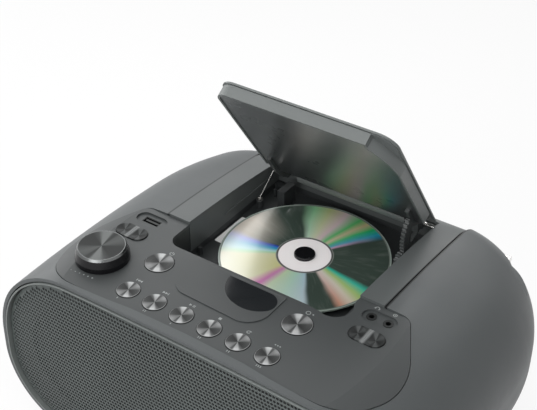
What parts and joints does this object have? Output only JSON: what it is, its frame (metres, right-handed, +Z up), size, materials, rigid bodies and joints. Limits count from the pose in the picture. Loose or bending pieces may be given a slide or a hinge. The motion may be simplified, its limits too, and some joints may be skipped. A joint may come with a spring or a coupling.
{
  "type": "portable cd radio",
  "caption": "Portable radio with a top-loading disc drive, its sprung lid standing open, a control panel with knob and buttons, a wide front grille and a stowed antenna.",
  "frame": {"origin": "centre of the bounding box at the table the feet stand on", "axes": "+X to the right seen from the front, +Y to the back, +Z up"},
  "size_m": [0.319, 0.2322, 0.2402],
  "materials": {
    "body_grey": "satin",
    "panel_grey": "satin",
    "deck_grey": "satin",
    "well_black": "matt",
    "lid_grey": "satin",
    "lid_gloss": "polished",
    "dark_arm": "satin",
    "gloss_black": "polished",
    "button_dark": "satin",
    "spun_metal": "spun",
    "bright_trim": "polished",
    "display_glass": "polished",
    "grille_metal": "perforated",
    "trim_grey": "satin",
    "disc": "iridescent",
    "steel": "plain",
    "nickel": "polished",
    "white_label": "plain",
    "rubber": "matt",
    "circuit": "plain",
    "inner_black": "matt",
    "cone_black": "matt",
    "drive_white": "plain"
  },
  "bodies": {
    "cabinet": {"lower_shell": "body_grey", "upper_shell": "body_grey", "center_deck": "deck_grey", "cd_well": "well_black", "well_label": "white_label", "control_panel": "panel_grey", "display_window": "display_glass", "display_module": "inner_black", "button_board": "circuit", "usb_socket": "steel", "jack_sockets": "nickel", "volume_encoder": "steel", "front_baffle": "inner_black", "front_grille": "grille_metal", "grille_frame": "trim_grey", "left_speaker_driver": "steel", "right_speaker_driver": "steel", "speaker_cones": "cone_black", "drive_chassis": "inner_black", "drive_grommets": "rubber", "drive_motors": "steel", "guide_rods": "nickel", "screws": "nickel", "hinge_pins": "nickel", "lid_spring": "nickel", "damper_housing": "dark_arm", "main_board": "circuit", "transformer": "steel", "mains_inlet": "inner_black", "battery_contacts": "nickel", "rubber_feet": "rubber"},
    "lid": {"lid_shell": "lid_grey", "lid_liner": "lid_gloss", "lid_arm_left": "dark_arm", "lid_arm_right": "dark_arm"},
    "damper": {"damper_gear": "drive_white"},
    "turntable": {"turntable": "gloss_black", "chuck_balls": "nickel"},
    "disc": {"compact_disc": "disc"},
    "sled": {"laser_sled": "inner_black", "laser_lens": "display_glass"},
    "feed_gear": {"feed_gear": "drive_white"},
    "feed_pinion": {"feed_pinion": "drive_white"},
    "knob": {"volume_knob": "gloss_black", "volume_knob_cap": "spun_metal", "volume_knob_ring": "bright_trim"},
    "battery_door": {"battery_door": "body_grey"},
    "antenna_base": {"antenna_base": "nickel"},
    "antenna_middle": {"antenna_middle": "nickel"},
    "antenna_tip": {"antenna_tip": "nickel"},
    "skip_back_button": {"skip_back_button": "button_dark"},
    "skip_forward_button": {"skip_forward_button": "button_dark"},
    "play_button": {"play_button": "button_dark"},
    "stop_button": {"stop_button": "button_dark"},
    "repeat_button": {"repeat_button": "button_dark"},
    "memory_button": {"memory_button": "button_dark"},
    "power_button": {"power_button": "button_dark"},
    "function_button": {"function_button": "button_dark"},
    "tuning_rocker": {"tuning_rocker": "spun_metal"},
    "mode_rocker": {"mode_rocker": "spun_metal"}
  },
  "joints": [
    {"name": "lid_hinge", "type": "hinge", "parent": "cabinet", "child": "lid", "pos_m": [0, 0.0885, 0.1325], "axis": [1, 0, 0], "range_deg": [0, 53], "stiffness_Nm_per_rad": 0.05, "springref_deg": -114.59},
    {"name": "damper_spin", "type": "hinge", "parent": "cabinet", "child": "damper", "pos_m": [0.0565, 0.05835, 0.11908], "axis": [1, 0, 0], "range_deg": [-297, 0]},
    {"name": "turntable_spin", "type": "hinge", "parent": "cabinet", "child": "turntable", "pos_m": [0, 0.026, 0.117], "axis": [0, 0, 1], "continuous": true},
    {"name": "disc_lift", "type": "slide", "parent": "turntable", "child": "disc", "axis": [0, 0, 1], "range_m": [0, 0.008]},
    {"name": "sled_slide", "type": "slide", "parent": "cabinet", "child": "sled", "axis": [1, 0, 0], "range_m": [0, 0.034]},
    {"name": "feed_gear_spin", "type": "hinge", "parent": "cabinet", "child": "feed_gear", "pos_m": [0.044, 0.058, 0.105], "axis": [0, 0, 1], "range_deg": [0, 244]},
    {"name": "feed_pinion_spin", "type": "hinge", "parent": "cabinet", "child": "feed_pinion", "pos_m": [0.032, 0.058, 0.105], "axis": [0, 0, 1], "range_deg": [-488, 0]},
    {"name": "volume_turn", "type": "hinge", "parent": "cabinet", "child": "knob", "pos_m": [-0.0924, -0.076, 0.145], "axis": [0, 0, 1], "continuous": true},
    {"name": "battery_door_slide", "type": "slide", "parent": "cabinet", "child": "battery_door", "axis": [0, 1, 0], "range_m": [0, 0.012]},
    {"name": "antenna_swing", "type": "hinge", "parent": "cabinet", "child": "antenna_base", "pos_m": [-0.1, 0.1055, 0.115], "axis": [0, -0.7071, 0.7071], "range_deg": [0, 90]},
    {"name": "antenna_middle_slide", "type": "slide", "parent": "antenna_base", "child": "antenna_middle", "axis": [1, 0, 0], "range_m": [0, 0.17]},
    {"name": "antenna_tip_slide", "type": "slide", "parent": "antenna_middle", "child": "antenna_tip", "axis": [1, 0, 0], "range_m": [0, 0.17]},
    {"name": "skip_back_press", "type": "slide", "parent": "cabinet", "child": "skip_back_button", "axis": [0, 0, -1], "range_m": [0, 0.001], "stiffness_N_per_m": 300, "springref_m": -0.001},
    {"name": "skip_forward_press", "type": "slide", "parent": "cabinet", "child": "skip_forward_button", "axis": [0, 0, -1], "range_m": [0, 0.001], "stiffness_N_per_m": 300, "springref_m": -0.001},
    {"name": "play_press", "type": "slide", "parent": "cabinet", "child": "play_button", "axis": [0, 0, -1], "range_m": [0, 0.001], "stiffness_N_per_m": 300, "springref_m": -0.001},
    {"name": "stop_press", "type": "slide", "parent": "cabinet", "child": "stop_button", "axis": [0, 0, -1], "range_m": [0, 0.001], "stiffness_N_per_m": 300, "springref_m": -0.001},
    {"name": "repeat_press", "type": "slide", "parent": "cabinet", "child": "repeat_button", "axis": [0, 0, -1], "range_m": [0, 0.001], "stiffness_N_per_m": 300, "springref_m": -0.001},
    {"name": "memory_press", "type": "slide", "parent": "cabinet", "child": "memory_button", "axis": [0, 0, -1], "range_m": [0, 0.001], "stiffness_N_per_m": 300, "springref_m": -0.001},
    {"name": "power_press", "type": "slide", "parent": "cabinet", "child": "power_button", "axis": [0, 0, -1], "range_m": [0, 0.001], "stiffness_N_per_m": 300, "springref_m": -0.001},
    {"name": "function_press", "type": "slide", "parent": "cabinet", "child": "function_button", "axis": [0, 0, -1], "range_m": [0, 0.001], "stiffness_N_per_m": 300, "springref_m": -0.001},
    {"name": "tuning_rocker_tip", "type": "hinge", "parent": "cabinet", "child": "tuning_rocker", "pos_m": [-0.0948, -0.0438, 0.1381], "axis": [0, 1, 0], "range_deg": [-2.5, 2.5], "stiffness_Nm_per_rad": 0.05},
    {"name": "mode_rocker_tip", "type": "hinge", "parent": "cabinet", "child": "mode_rocker", "pos_m": [0.09, -0.0438, 0.1381], "axis": [0, 1, 0], "range_deg": [-2.5, 2.5], "stiffness_Nm_per_rad": 0.05}
  ],
  "couplings": [
    {"joint": "damper_spin", "follows": "lid_hinge", "ratio": -5.6},
    {"joint": "feed_gear_spin", "follows": "sled_slide", "rad_per_m": 125},
    {"joint": "feed_pinion_spin", "follows": "sled_slide", "rad_per_m": -250}
  ]
}
